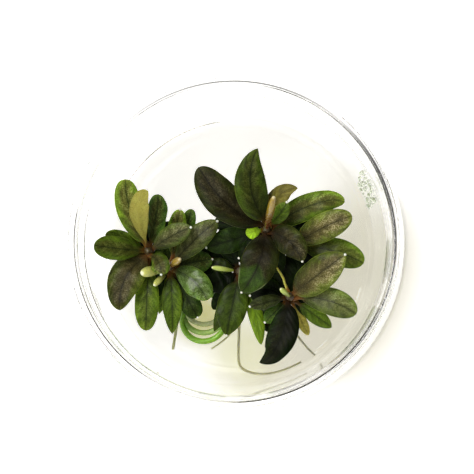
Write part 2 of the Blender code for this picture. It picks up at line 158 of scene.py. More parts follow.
# Leaf blades. WING is how much of its stalk a blade leaves free, as it runs down it on both sides
FOLD = 0.27
CURL = 0.30
WING = 0.45
BLADE_THICKNESS = 0.42
STALK_HALF_WIDTH = 0.55
STALK_THICKNESS = 0.95
STALK_NARROWING = 0.75
TIP_HALF_WIDTH = 0.10
TIP_THINNESS = 0.3
BASE_FULLNESS = 0.60
TIP_FULLNESS = 0.54
ALONG = 44
ACROSS = 17
CROWDING = 1.25
MIDRIB_STEP = 0.01
GROOVE = 0.07
KEEL_DEPTH = 0.34
KEEL_WIDTH = 0.55
KEEL_FADING = 0.8
MARGIN_WAVE = 0.06
MARGIN_WAVES = 2.3
RIPPLE = 0.05
LONG_RIPPLES = 1.7
SHORT_RIPPLES = 3.1
SHORT_RIPPLE_SHARE = 0.6
SHEATH_WIDTH = 0.35
FOOT_DEPTH = 0.9
TIP_BEAD = 0.42
BEAD_PLACE = 1.1

# Where along a leaf its sheath ends, its stalk flattens to a blade, its tip thins, and its last bend starts
SHEATH_SPAN = (0.12, -0.02)
FLATTENING_SPAN = (-0.02, 0.16)
THINNING_SPAN = (1.02, 0.93)
HOOK_START = 0.8

# Rolled young leaves
ROLLED_STATIONS = 34
ROLLED_SIDES = 24
ROLLED_END = 0.985

# A leaf's pattern: its side veins and streaks, then its noises by size in millimetres, detail and roughness
SIDE_VEINS = 9
VEIN_SLANT = 0.24
VEIN_WOBBLE = 0.07
VEIN_SHADE = 0.14
STREAKS_ALONG = 5.0
OWN_PATTERN = 41.0
# How much lighter one half of a leaf is painted than the other: painted light and shade
PAINTED_SIDE_LIGHT = 0.50
UNDERSIDE_GLOSS = 0.3
PATCHES = (3.6, 4.0, 0.62)
BLOTCHES = (1.3, 3.0, 0.6)
GRAIN = (0.42, 2.0, 0.7)
SPECKS = (0.22, 1.0, 0.5)

Leaf = namedtuple("Leaf", "turn reach width foot tip arch sway roll stalk tone")
Rolled = namedtuple("Rolled", "turn reach width foot tip arch start tone")
Root = namedtuple("Root", "height turn reach end sway radius")
Shoot = namedtuple("Shoot", "x y top foot_x foot_y leaves rolled roots")

SHOOTS = {
    "a": Shoot(-28.3, -0.9, 31, -25, -5, [
        Leaf(106, 22.4, 8.4, 29.3, 44, 2, 1.5, 12, 3, "green"),
        Leaf(88, 17.2, 6.6, 30.6, 52, 2.5, 2, 165, 4, "olive"),
        Leaf(77, 17.6, 7.4, 27.6, 40, 2, -0.7, -25, 3, "dark"),
        Leaf(26, 15.6, 6.8, 29, 38, 2.5, 0.4, 8, 1.6, "grey"),
        Leaf(-60, 9, 6.4, 30, 34, 1.6, 1.2, 10, 1.2, "green"),
        Leaf(-92.5, 25.3, 7.8, 24, 24, 2, 0, 0, 8, "green"),
        Leaf(-115, 20.9, 11.2, 27, 31, 2, -2.7, 5, 1.6, "brown"),
        Leaf(176, 16.2, 7.6, 28.6, 41, 1.5, 0.3, -6, 1.6, "green"),
        Leaf(160, 14, 6, 25.6, 35, 1, -0.4, 15, 2.6, "green"),
    ], [], [
        Root(9, 240, 13, 4, 2, 0.5),
        Root(7, 150, 9, 3.6, -2, 0.45),
    ]),
    "b": Shoot(-21.6, -5.7, 27, -17, -9, [
        Leaf(42, 20.8, 7.8, 26, 33, 3, 0.4, -8, 3, "grey"),
        Leaf(79, 18.2, 5.8, 22.6, 31, 1.5, 0, 0, 6, "green"),
        Leaf(69, 19.6, 5.2, 20.4, 27, 1.5, -0.4, 0, 8, "dark"),
        Leaf(10, 13.6, 7.6, 23.4, 24, 1.5, 0, -12, 2.6, "dark"),
        Leaf(-42, 16.2, 8.4, 25.6, 27, 2.6, 1.6, 6, 1.6, "gloss"),
        Leaf(-62, 18.4, 6.8, 21.8, 21, 1.5, 0, 0, 4, "dark"),
        Leaf(-89, 21.4, 6.6, 23.4, 20, 2.5, 0.4, 0, 4, "green"),
        Leaf(-105, 15.5, 4.2, 19.6, 18, 1, 0, 0, 5, "green"),
        Leaf(112, 9.6, 6.6, 18.4, 19, 1, 0, 0, 2, "dark"),
    ], [
        Rolled(23, 4.4, 2.6, 28.1, 38, 0.3, 0.2, "tan"),
        Rolled(197, 9, 3.6, 24.4, 34, 1, 2.9, "pale"),
        Rolled(233, 8, 2.2, 22, 30, 1, 2.4, "pale"),
    ], [
        Root(9, 265, 25, 5, 0.6, 0.7),
        Root(8, 120, 11, 4, 2, 0.45),
    ]),
    "c": Shoot(9.6, 5.7, 37, 7, 0, [
        Leaf(138, 27.8, 11.4, 35.4, 48, 3, 2.8, -6, 2, "brown"),
        Leaf(97, 23.9, 10.2, 36.6, 51, 3, 3.2, 8, 2.4, "green"),
        Leaf(55, 15.6, 6.6, 33.4, 42, 2, 2.5, -15, 3, "olive"),
        Leaf(50, 10, 4.8, 35.8, 44, 1.6, -0.6, 0, 2, "green"),
        Leaf(22, 26, 8.2, 30.6, 33, 2.5, 1.7, 0, 4, "green"),
        Leaf(-43, 15.3, 8.8, 35.2, 37, 2.6, 1.8, 10, 1.2, "brown"),
        Leaf(-112, 21.5, 11.6, 33.6, 32, 3, 1.8, -4, 1.2, "brown"),
        Leaf(-135, 12.7, 5, 31.2, 30, 1.4, 0, 15, 2.5, "dark"),
        Leaf(196, 20.2, 8, 29.4, 28, 2, 0, -10, 5, "dark"),
        Leaf(192, 6.8, 4.4, 32.6, 33, 1, 0, 0, 2, "lime"),
    ], [
        Rolled(73, 9.1, 2.7, 38.1, 54, 1, 0.2, "tan"),
    ], [
        Root(9, 150, 10, 4, 2, 0.45),
        Root(8, -40, 12, 4, -2, 0.45),
    ]),
    "d": Shoot(16.7, -15.4, 29, 12, -13, [
        Leaf(36, 21.6, 10.8, 28.2, 39, 2.4, 0, -4, 1, "brown"),
        Leaf(-15, 21.8, 8.8, 26.4, 30, 2.5, 1.8, 0, 5, "grey"),
        Leaf(-36, 16.4, 5.2, 21.6, 20, 1.6, 0, 0, 6, "green"),
        Leaf(250, 23, 9.6, 27.4, 29, 2.5, 2, 6, 2, "dark"),
        Leaf(194, 13.1, 5, 25.4, 27, 1.6, 0, -30, 3, "grey"),
        Leaf(178, 12.8, 5, 22.6, 22, 1, 0, 0, 3, "dark"),
        Leaf(225, 11.4, 5, 22, 21, 1, 0, 0, 3, "dark"),
        Leaf(-64, 13.4, 3.4, 18.6, 17, 1.2, 0, 0, 5, "olive"),
    ], [
        Rolled(142, 3.6, 1.8, 30.1, 35, 0.2, 0.2, "lime"),
    ], [
        Root(9, 250, 14, 4, 1, 0.45),
        Root(8, -61, 23, 3.8, -2, 0.5),
    ]),
    "e": Shoot(17, 0.5, 28, 16, -3, [
        Leaf(25, 21.4, 9, 27.4, 38, 3, 0.6, 6, 3, "brown"),
        Leaf(-13, 23.8, 8.8, 25, 28, 2.5, 1.6, 0, 6, "green"),
        Leaf(-26, 11.2, 6, 22.8, 26, 1.2, 0, 10, 2.5, "dark"),
        Leaf(-108, 14.6, 8.2, 20.6, 20, 1.4, 0.6, 0, 2, "dark"),
    ], [], [
        Root(8, 20, 11, 4, -2, 0.45),
    ]),
    "m": Shoot(0.6, -7.1, 23, 0, -9, [
        Leaf(163, 10.2, 4.8, 20.4, 21, 1, 0, 0, 2, "green"),
        Leaf(206, 11, 8.4, 19.8, 20, 1.4, 0, 0, 1.6, "dark"),
        Leaf(258, 21, 9.8, 21.6, 20, 2, 0, 0, 4, "green"),
        Leaf(246, 21, 5, 18.2, 16, 1, 0, 0, 5, "green"),
        Leaf(-74, 24.4, 4.8, 19, 18, 1, 1, 0, 8, "lime"),
        Leaf(-92, 13, 6.4, 15.4, 15, 1, 0, 0, 2, "dark"),
    ], [
        Rolled(173, 9, 1.7, 22.2, 26, 0.3, 2.2, "lime"),
    ], [
        Root(9, 248, 26, 4.4, 5, 0.4),
        Root(9, -74, 23, 6.4, 0.6, 0.5),
    ]),
}

# Leaves low among the others, in their shade, by turn, reach, width, foot, tip and stalk, and a thin pale
# strand of the fourth shoot: the model's own list of nodes has no room for them
LOW_LEAVES = {
    "a": [
        (-78, 14.5, 5.4, 22, 22, 2), (112, 10.5, 6.4, 24, 26, 2), (52, 12, 6, 23, 24, 2),
        (150, 9, 7, 22.5, 23, 0.4), (197, 9, 7, 21, 22, 0.4),
    ],
    "b": [
        (215, 9, 5, 18, 19, 2), (-10, 15.5, 5.6, 19.5, 20, 2), (30, 15, 6, 19, 21, 2),
        (-72, 9, 6.6, 19, 19, 2), (243, 9, 6.6, 18.6, 19, 0.4), (-25, 17, 6, 17.5, 17, 2),
    ],
    "c": [
        (170, 17.5, 7, 26, 25, 2), (-14, 13, 7, 27, 28, 2), (78, 10, 6, 28, 31, 0.4),
        (-75, 14, 7, 26.5, 26, 2),
    ],
    "d": [
        (150, 13, 5.6, 21, 22, 2), (15, 10, 6, 21, 23, 2), (-24, 12, 7.4, 20, 21, 0.3),
        (205, 10, 6.6, 19, 20, 0.3),
    ],
    "e": [
        (175, 8.5, 6.4, 23.4, 24, 2), (-86, 15.5, 7.2, 20.5, 20, 2), (-18, 13, 5, 21.6, 23, 2),
        (64, 12.5, 7.4, 24, 27, 2), (-55, 12, 6.6, 20, 21, 2),
    ],
    "m": [
        (233, 15, 5.4, 16.5, 15, 2), (141, 13, 7.6, 18, 19, 2), (115, 15, 6.4, 19, 21, 2),
        (70, 9.5, 6.4, 18.6, 19, 2), (-64, 21.5, 5.4, 15.5, 14, 2), (30, 15, 7.4, 17.6, 18, 2),
        (-20, 15.5, 6.4, 17, 18, 2),
    ],
}
SHADED = {
    letter: [Leaf(*row[:5], 1.0, 0.0, 0, row[5], "dark") for row in rows]
    for letter, rows in LOW_LEAVES.items()
}
SHADED["d"].insert(0, Leaf(115, 11.0, 2.4, 24.0, 27, 0.8, -0.6, 84, 4.0, "olive"))

# How far a leaf's last fifth bends left of its line, where it does
HOOKS = {"c2": -0.5, "a2": -1.0, "c5": -1.2, "d4": -1.8, "c3": -1.0, "c1": 0.4}

# How slowly a leaf widens from its foot and narrows to its tip, where it differs from most
BASES = {
    "a2": 0.85, "a7": 0.40, "b6": 0.80, "c5": 0.41, "c6": 0.48, "c7": 0.46, "d1": 0.50, "e1": 0.48,
}
TIPS = {
    "a1": 0.42, "a2": 0.52, "a3": 0.44, "a5": 0.45, "a6": 0.46, "a7": 0.58, "a8": 0.46, "b2": 0.46,
    "b3": 0.46, "b5": 0.46, "b6": 0.40, "b7": 0.78, "b8": 0.85, "c1": 0.54, "c2": 0.80, "c3": 0.66,
    "c5": 0.46, "c6": 0.62, "c7": 0.62, "d1": 0.60, "d2": 0.48, "d3": 0.60, "d4": 0.72, "e1": 0.48,
    "e2": 0.46, "m3": 0.70, "m4": 0.78, "m5": 0.66,
}

# How light a leaf is beside its tone, how brown beside its midrib, and how much lighter its left side is
# painted, as painted light and shade on its two halves
SHADES = {
    "a1": (2.75, 0.9, -0.3), "a2": (1.05, 0.1, -0.1), "a3": (2, 1, -0.6), "a4": (1.25, 0.9, 0.6),
    "a5": (1.2, 1, -0.4), "a6": (1.9, 0.3, -0.5), "a7": (1.6, 1, -0.3), "a8": (1.6, 0.7, 0),
    "a9": (1.36, 0.2, -0.6), "b1": (1.02, 0.8, 0.8), "b2": (3.2, 1, 0.6), "b3": (2.6, 0.6, -0.5),
    "b4": (1.6, 0.8, -0.3), "b5": (1.25, 0.5, -0.2), "b6": (1.25, 0.5, 0), "b7": (1.2, 0, 0.6),
    "b8": (2.3, 0, -0.6), "b9": (2.6, 0.5, 0.5), "c1": (0.41, 1, -0.2), "c2": (0.69, 0.6, 0.2),
    "c3": (0.60, 0.1, -0.5), "c4": (1.35, 0, 0.2), "c5": (1.8, 0.9, 0.7), "c6": (0.52, 1, 0.8),
    "c7": (0.34, 1, 0), "c8": (0.34, 0.1, 0.4), "c9": (0.66, 0.2, -0.5), "c10": (1.5, 0, -0.5),
    "d1": (1.85, 1, -0.8), "d2": (1.75, 0.5, 0.8), "d3": (1.4, 0, 0.3), "d4": (0.3, 1, -0.8),
    "d5": (0.48, 0.2, 0.6), "d6": (0.19, 0, 0), "d7": (2.6, 0.4, 0), "d8": (2.1, 0, 0),
    "e1": (2.3, 1, 0), "e2": (1.55, 0.6, 0.7), "e3": (0.14, 0.2, 0.3), "e4": (0.38, 0.3, 0),
    "m1": (0.35, 0, 0), "m2": (0.18, 0, 0), "m3": (0.58, 0, 0.5), "m4": (0.55, 0, 0),
    "m5": (0.45, 0, -0.4), "m6": (0.18, 0, 0.4), "d9": (2.8, 0, 0),
}
USUAL_SHADE = (0.5, 0.1, 0.0)
SHADE_CHANGES = (0.96, 1.04)

# How far along a leaf the brown and its painted sheen reach, where they end before its tip, and the colours
# beyond
PATCH_ENDS = {"c7": 0.52}
WHOLE_LEAF = 2.0
GREEN_END = (.095, .215, .016)
# The pale edge beyond is partly the margin's own colour and partly painted light shining through it
PALE_EDGE = (.420, .560, .210)

# Leaves whose tip carries a pale bead
BEADED = set("a4 a5 b1 b2 b4 b6 c4 c6 c7 c8 c9 d1 d5 d6 d7 e4 m1 m3".split())

# Colours of a leaf's sides, of their brown, of its pale specks and painted sheen, of its margin (paler, partly
# its own colour and partly painted light shining through the thin edge), midrib and underside, then roughness
# and gloss
Tone = namedtuple("Tone", "face patch bloom margin midrib under rough gloss")
TONES = {
    "green": Tone((.064, .114, .006), (.058, .054, .012), (.170, .200, .056), (.140, .215, .018),
          (.007, .011, .002), (.110, .140, .024), 0.40, 0.04),
    "dark": Tone((.016, .041, .003), (.023, .025, .005), (.066, .096, .024), (.052, .100, .008),
          (.003, .007, .001), (.045, .060, .010), 0.46, 0.0),
    "brown": Tone((.055, .077, .007), (.060, .052, .015), (.235, .207, .112), (.105, .145, .014),
          (.011, .010, .003), (.100, .100, .025), 0.42, 0.04),
    "grey": Tone((.068, .098, .017), (.080, .078, .028), (.215, .228, .100), (.120, .172, .024),
          (.011, .013, .004), (.110, .120, .030), 0.40, 0.05),
    "gloss": Tone((.072, .138, .018), (.066, .088, .022), (.260, .330, .170), (.140, .235, .020),
          (.011, .020, .004), (.110, .140, .030), 0.28, 0.30),
    "olive": Tone((.270, .240, .040), (.280, .225, .054), (.360, .330, .110), (.330, .320, .060),
          (.130, .105, .022), (.290, .265, .050), 0.52, 0.02),
    "lime": Tone((.290, .500, .016), (.240, .400, .016), (.420, .620, .070), (.480, .700, .060),
          (.180, .320, .012), (.340, .500, .040), 0.40, 0.08),
}
TIP_COLOUR = (.95, .95, .86)
STALK_COLOUR = (.110, .040, .010)

# Colours of a rolled leaf's foot, body and point
ROLLED_TONES = {
    "tan": ((.110, .034, .008), (.340, .235, .024), (.80, .70, .40)),
    "pale": ((.085, .120, .016), (.680, .700, .180), (.97, .97, .72)),
    "lime": ((.260, .330, .040), (.600, .720, .160), (.95, .95, .60)),
}

# Clear materials: name, colour, refractive index, roughness, and the depth and size of their unevenness
PLASTIC = ("clear moulded plastic", (0.985, 0.99, 0.985), 1.50, 0.015, 0.02, 6.0)
CLEAR_GEL = ("clear gel", (0.99, 0.985, 0.97), 1.335, 0.02, 0.05, 4.0)
# The drops' grey-green colour is painted: it stands in for the green of the leaves that real clear drops show
# by refraction
WATER = ("water", (0.66, 0.70, 0.60), 1.333, 0.0, 0.0, 4.0)

# Colours of a rhizome's rind, its pale roots and its green ones, each a pair that its grain mixes
RIND_COLOURS = ((.090, .075, .022), (.045, .030, .014))
ROOT_COLOURS = ((.840, .820, .560), (.700, .660, .380))
GREEN_ROOT_COLOURS = ((.330, .620, .040), (.180, .420, .020))
RING_COLOUR = (.050, .018, .010)


# Camera
CAMERA_PLACE = (26.1, -40.3, 712.2)
CAMERA_LENS = 163.5
CAMERA_AIM = (-82.4, 138.0, -2153.0)

# The floor's own light, then a painted shadow of the cup towards the lower right, and a painted darkening of
# the floor far from the cup on that side
FLOOR_GLOW = 0.92
FLOOR_LIGHT = (1.0, 0.985, 0.965)
SHADE_LIGHT = (0.77, 0.74, 0.62)
SHADE_SIDE = (0.86, -0.5)
SHADE_SPAN = (6.0, 32.0)
SHADE_REACH = (43.0, 51.0)
FAR_SPAN = (150.0, 500.0)
FAR_LIGHT = 0.25

# On the right the painted shadow reaches past the cup, and a narrow darker ring is painted into it as the
# ribbed skirt's shadow
RIGHT_SIDE = (0.94, -0.34)
RIGHT_TURN = (0.66, 0.98)
RIGHT_REACH = (50.0, 68.0)
SKIRT_SHADE_CENTRE = (-3.0, 3.7)
SKIRT_SHADE_RADIUS = 55.9
SKIRT_SHADE_HALF_WIDTH = 3.4
SKIRT_SHADE = 0.62

# Painted light: tints painted on the floor below the leaves for light that has passed them, and more so
# within the coiled root: the centre and the radii of each tint, and its light
Tint = namedtuple("Tint", "centre radii light")
PAINTED_TINTS = [
    Tint((1.0, -33.0), (3.0, 17.0), (0.78, 0.765, 0.53)),
    Tint((-13.0, -21.5), (4.0, 12.0), (0.56, 0.53, 0.24)),
]

# The floor's colour in the light and in the painted shadow, its half width, and how far it lies below the cup
FLOOR_COLOUR = (0.85, 0.845, 0.83)
SHADED_FLOOR = (0.34, 0.33, 0.30)
FLOOR_HALF = 4000.0
FLOOR_GAP = 0.02

# The room's light: its strength at the horizon on the left and right, and overhead. The horizon behind the
# cup is as dark as one that is BACK_SHARE of the way to the right
BACK_SHARE = 0.70
LEFT_GLOW = 1.9
RIGHT_GLOW = 0.1
OVERHEAD_GLOW = 0.06
GLOW_TURNS = (0.25, 0.85)
GLOW_HEIGHTS = (0.10, 0.45)
FRONT_SHARE = -0.05
WORLD_COLOUR = (1.0, 0.985, 0.95)

# Soft lights in metres: name, azimuth, elevation, size and watts
LIGHTS = [("key", 150, 64, 0.5, 8.0), ("fill", 250, 60, 0.45, 2.5)]
LIGHT_DISTANCE = 1.0
LIGHT_TARGET = (0.0, 0.0, 0.03)
LIGHT_COLOUR = (1.0, 0.98, 0.94)

# Light that enters the rim is guided down inside the thin wall, with many reflections on its way
WALL_BOUNCES = 96


def smoothstep(low, high, value):
    share = np.clip((value - low) / (high - low), 0.0, 1.0)
    return share * share * (3 - 2 * share)


def blend(low, high, share):
    """The value that is this share of the way from low to high."""
    return low + (high - low) * share


def unit(vectors):
    """The vectors, each made one long."""
    return vectors / np.linalg.norm(vectors, axis=1)[:, None]


def level_directions(turn):
    """The level direction that this many degrees point to, and the one left of it."""
    out = np.array([cos(radians(turn)), sin(radians(turn)), 0.0])
    return out, np.array([-out[1], out[0], 0.0])


# Meshes


def link(obj):
    bpy.context.scene.collection.objects.link(obj)
    return obj


def add_piece(name, points, faces, materials, slots=None):
    """An object of the part, from points in millimetres, riding on the body."""
    mesh = bpy.data.meshes.new(name)
    mesh.from_pydata((np.asarray(points, float) * MM).tolist(), [], faces)
    mesh.update()
    for finish in materials:
        mesh.materials.append(finish)
    if slots is not None:
        mesh.polygons.foreach_set("material_index", slots)
    mesh.shade_smooth()
    obj = link(bpy.data.objects.new(name, mesh))
    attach(obj, BODY)
    return obj


def keep_values(obj, name, values):
    """Keeps three numbers for each point of a piece, by which its paint goes."""
    attribute = obj.data.attributes.new(name, "FLOAT_VECTOR", "POINT")
    attribute.data.foreach_set("vector", np.asarray(values, np.float32).ravel())


def ring_faces(rings, around, start=0):
    """Faces of a sleeve of rings of points."""
    faces = []
    for low in range(start, start + (rings - 1) * around, around):
        for step in range(around):
            after = (step + 1) % around
            faces.append((low + step, low + after, low + around + after, low + around + step))
    return faces


def closed_faces(rings, around, start, low, high):
    """Faces of a sleeve closed by a fan round one point at its foot and round another at its top."""
    faces = ring_faces(rings, around, start)
    last = start + (rings - 1) * around
    for step in range(around):
        after = (step + 1) % around
        faces.append((low, start + after, start + step))
        faces.append((last + step, last + after, high))
    return faces


def join(points, faces, piece):
    """Adds a piece's points and faces to these lists."""
    more, more_faces = piece
    faces.extend(tuple(len(points) + index for index in face) for face in more_faces)
    points.extend(more.tolist())


def rounded(profile):
    """The profile with its corners rounded, by the usual distance or by a corner's own third number."""
    points = [profile[0]]
    for before, corner, after in zip(profile, profile[1:], profile[2:]):
        own = corner[2] if len(corner) > 2 else CORNER_ROUNDING
        before, corner, after = Vector(before[:2]), Vector(corner[:2]), Vector(after[:2])
        reach_in = min(own, (corner - before).length * MOST_ROUNDING)
        reach_out = min(own, (after - corner).length * MOST_ROUNDING)
        start = corner + (before - corner).normalized() * reach_in
        end = corner + (after - corner).normalized() * reach_out
        for step in range(CORNER_STEPS + 1):
            share = step / CORNER_STEPS
            points.append(tuple(start.lerp(corner, share).lerp(corner.lerp(end, share), share)))
    points.append(profile[-1])
    return points


def lathe(profile, segments, radius_at=None):
    """Points and faces of a closed turned solid whose profile starts and ends on the axis."""
    angles = 2 * pi * np.arange(segments) / segments
    points = [(0.0, 0.0, profile[0][1])]
    for radius, height in profile[1:-1]:
        ring = np.full(segments, radius) if radius_at is None else radius_at(radius, height, angles)
        points.extend(zip(ring * np.cos(angles), ring * np.sin(angles), np.full(segments, height)))
    points.append((0.0, 0.0, profile[-1][1]))
    return points, closed_faces(len(profile) - 2, segments, 1, 0, len(points) - 1)


def ball(centre, radius, rings=8, around=12):
    """Points and faces of a small ball."""
    points = []
    for ring in range(1, rings):
        polar = pi * ring / rings
        for step in range(around):
            angle = 2 * pi * step / around
            points.append((sin(polar) * cos(angle), sin(polar) * sin(angle), cos(polar)))
    points += [(0, 0, 1), (0, 0, -1)]
    faces = closed_faces(rings - 1, around, 0, len(points) - 2, len(points) - 1)
    return np.array(points) * radius + np.asarray(centre), [face[::-1] for face in faces]


def tube(path, radii, sides):
    """Points and faces of a closed round tube along a path, with blunt ends."""
    tangent = unit(np.gradient(path, axis=0))
    side = unit(np.cross(TUBE_REFERENCE, tangent))
    for index in range(1, len(side)):
        turned = side[index - 1] - tangent[index] * (side[index - 1] @ tangent[index])
        side[index] = turned / np.linalg.norm(turned)
    up = np.cross(tangent, side)
    angles = 2 * pi * np.arange(sides) / sides
    circle = side[:, None, :] * np.cos(angles)[:, None] + up[:, None, :] * np.sin(angles)[:, None]
    points = (path[:, None, :] + circle * radii[:, None, None]).reshape(-1, 3)
    foot = path[0] - tangent[0] * radii[0] * 0.4
    tip = path[-1] + tangent[-1] * radii[-1] * 0.6
    faces = closed_faces(len(path), sides, 0, len(points), len(points) + 1)
    return np.vstack([points, foot, tip]), faces


# Materials


class Nodes:
    """The node tree of a material or a world, with short calls for the nodes that it takes."""

    def __init__(self, owner, shader="Principled BSDF"):
        owner.use_nodes = True
        self.owner = owner
        self.tree = owner.node_tree
        self.shader = self.tree.nodes[shader]

    def put(self, kind, inputs=(), **settings):
        """Adds a node and gives its outputs."""
        node = self.tree.nodes.new(f"ShaderNode{kind}")
        for key, value in settings.items():
            setattr(node, key, value)
        for socket, value in dict(inputs).items():
            self.plug(node.inputs[socket], value)
        return node.outputs

    def plug(self, socket, value):
        if isinstance(value, bpy.types.NodeSocket):
            self.tree.links.new(value, socket)
        elif socket.type == "RGBA":
            socket.default_value = (*value, 1.0)
        else:
            socket.default_value = value

    def math(self, operation, first, second=0.0, third=0.0):
        return self.put("Math", {0: first, 1: second, 2: third}, operation=operation)[0]

    def times(self, first, second, added=0.0):
        """The product of two values, and a third added to it."""
        return self.math("MULTIPLY_ADD", first, second, added)

    def step(self, value, low, high, to_low=0.0, to_high=1.0):
        """A smooth change from one number to another, as the value goes from low to high."""
        inputs = {"Value": value, "From Min": low, "From Max": high, "To Min": to_low, "To Max": to_high}
        return self.put("MapRange", inputs, interpolation_type="SMOOTHSTEP")[0]

    def mix(self, share, first, second):
        return self.put("Mix", {0: share, 6: first, 7: second}, data_type="RGBA")[2]

    def brighten(self, colour, value):
        return self.put("HueSaturation", {"Color": colour, "Value": value})[0]

    def split(self, vector):
        return self.put("SeparateXYZ", {0: vector})

    def kept(self, name):
        """The three numbers that a piece keeps for each point under this name."""
        return self.split(self.put("Attribute", attribute_name=name)["Vector"])

    def noise(self, size, detail, roughness, stretch=(1.0, 1.0, 1.0)):
        """Noise whose features are about this many millimetres wide."""
        place = self.put("TexCoord")["Object"]
        scaled = self.put("Mapping", {"Vector": place, "Scale": stretch})[0]
        inputs = {"Vector": scaled, "Scale": 1 / (size * MM), "Detail": detail, "Roughness": roughness}
        return self.put("TexNoise", inputs)["Fac"]

    def set(self, **values):
        for name, value in values.items():
            self.plug(self.shader.inputs[name.replace("_", " ")], value)

    def bump(self, height, distance, strength):
        inputs = {"Height": height, "Distance": distance * MM, "Strength": strength}
        self.set(Normal=self.put("Bump", inputs)[0])


def leaf_material(name, tone, underside):
    """A leaf's skin: green sides, brown and a painted sheen beside a dark midrib, streaks along faint side
    veins, and painted shade.
    """
    nodes = Nodes(bpy.data.materials.new(name))
    mix, step, times = nodes.mix, nodes.step, nodes.times
    signed, along, lift = nodes.kept("place")
    blush, side, end = nodes.kept("look")
    across = nodes.math("ABSOLUTE", signed)
    patches = nodes.noise(*PATCHES)
    blotches = nodes.noise(*BLOTCHES)
    grain = nodes.noise(*GRAIN)
    specks = nodes.noise(*SPECKS)

    # Side veins, which slant and waver, and streaks that follow them
    wobble = times(patches, VEIN_WOBBLE, times(across, -VEIN_SLANT, along))
    wave = nodes.math("SINE", times(wobble, 2 * pi * SIDE_VEINS))
    vein = times(step(wave, 0.5, 1.0), step(across, 0.95, 0.6))
    feather = {0: times(wobble, STREAKS_ALONG), 1: signed, 2: times(lift, OWN_PATTERN)}
    inputs = {"Vector": nodes.put("CombineXYZ", feather)[0], "Scale": 2.0, "Detail": 4.0}
    streaks = nodes.put("TexNoise", inputs)["Fac"]

    # The distance from the midrib, made ragged
    ragged = times(patches, 0.8, times(blotches, 0.4, across))
    ragged = times(streaks, 0.5, ragged)

    if underside:
        face = mix(step(patches, 0.35, 0.7), tone.under, tone.margin)
        face = mix(step(specks, 0.55, 0.70, 0.0, 0.35), face, tone.bloom)
    else:
        # Brown and painted sheen beside the midrib as far as they reach, and painted light and shade that make
        # one half lighter than the other
        turned = times(signed, side)
        within = step(nodes.math("SUBTRACT", wobble, end), -0.06, 0.06, 1.0, 0.0)
        beyond = nodes.math("SUBTRACT", 1.0, within)
        blush = times(blush, within)
        beside = step(ragged, 1.15, 1.75, 1.0, 0.0)
        face = mix(times(beside, blush), tone.face, tone.patch)
        # Painted sheen: a pale speckled highlight beside the midrib, stronger on the half that is painted
        # lighter
        bloom = times(step(ragged, 1.20, 1.90, 1.0, 0.2), step(grain, 0.46, 0.64))
        bloom = times(bloom, step(along, 0.10, 0.75, 0.25, 1.0))
        bloom = times(bloom, times(turned, 0.9, 0.6))
        bloom = times(bloom, times(blush, 0.65, 0.35))
        bloom = times(bloom, step(streaks, 0.28, 0.68))
        face = mix(bloom, face, tone.bloom)
        # Paler margins: partly their own colour, partly painted light shining through the thin leaf
        face = mix(step(ragged, 1.60, 2.10, 0.0, 0.55), face, tone.margin)
        face = mix(times(beyond, 0.85), face, GREEN_END)
        # Painted shade: darker towards the leaf's foot, where the leaves crowd, and on one half, broken up by
        # the streaks
        painted_shade = times(turned, PAINTED_SIDE_LIGHT, step(along, -0.05, 0.50, 0.42, 1.0))
        painted_shade = times(painted_shade, step(streaks, 0.30, 0.66, 0.62, 1.30))
        face = nodes.brighten(face, painted_shade)
    near_tip = step(times(patches, 0.2, along), 0.94, 1.12, 0.0, 0.5)
    face = mix(near_tip, face, tone.margin)
    face = mix(times(vein, VEIN_SHADE), face, tone.midrib)

    # What each layer of paint goes by, where it starts and where it is full, how strong it is, and its colour
    rib = tone.under if underside else tone.midrib
    layers = [
        (across, 0.30, 0.02, 0.45, rib),
        (across, 0.060, 0.025, 0.75, rib),
        (grain, 0.52, 0.34, 0.50, tone.midrib),
        (specks, 0.60, 0.70, 0.30, tone.bloom),
        (across, 0.84, 0.93, 0.35, tone.midrib),
        # The thin pale margin line is partly the margin's own colour and partly painted light shining through
        # the edge
        (across, 0.945, 0.985, 0.75, tone.margin),
    ]
    for value, start, full, strength, colour in layers:
        face = mix(step(value, start, full, 0.0, strength), face, colour)
    # A pale edge line: partly the margin's own colour, partly painted light shining through it
    if not underside:
        face = mix(times(beyond, step(across, 0.88, 0.96)), face, PALE_EDGE)
    face = mix(step(along, 0.10, -0.10, 0.0, 0.85), face, STALK_COLOUR)
    face = mix(step(along, 1.0, 1.03), nodes.brighten(face, lift), TIP_COLOUR)

    gloss = tone.gloss * (UNDERSIDE_GLOSS if underside else 1.0)
    roughness = step(grain, 0.2, 0.8, tone.rough - 0.08, tone.rough + 0.14)
    nodes.set(Base_Color=face, Roughness=roughness, Coat_Weight=gloss, Coat_Roughness=0.18)
    nodes.set(Subsurface_Weight=0.05, Subsurface_Scale=0.0005, Specular_IOR_Level=0.08)
    nodes.bump(times(wave, -0.35, times(streaks, 0.8, grain)), 0.10, 0.55)
    return nodes.owner


def rolled_material(name, foot, body, tip):
    """A rolled young leaf: a stained foot, a glossy body and a pale point."""
    nodes = Nodes(bpy.data.materials.new(name))
    along = nodes.kept("place")[1]
    streaks = nodes.noise(0.5, 3.0, 0.6, (1.0, 1.0, 0.2))
    colour = nodes.mix(nodes.step(along, 0.1, 0.75), foot, body)
    colour = nodes.mix(nodes.step(streaks, 0.4, 0.7, 0.0, 0.45), colour, foot)
    colour = nodes.mix(nodes.step(along, 0.92, 1.0), colour, tip)
    nodes.set(Base_Color=colour, Roughness=nodes.step(streaks, 0.2, 0.8, 0.2, 0.36))
    nodes.set(Coat_Weight=0.35, Coat_Roughness=0.12)
    nodes.bump(streaks, 0.05, 0.3)
    return nodes.owner


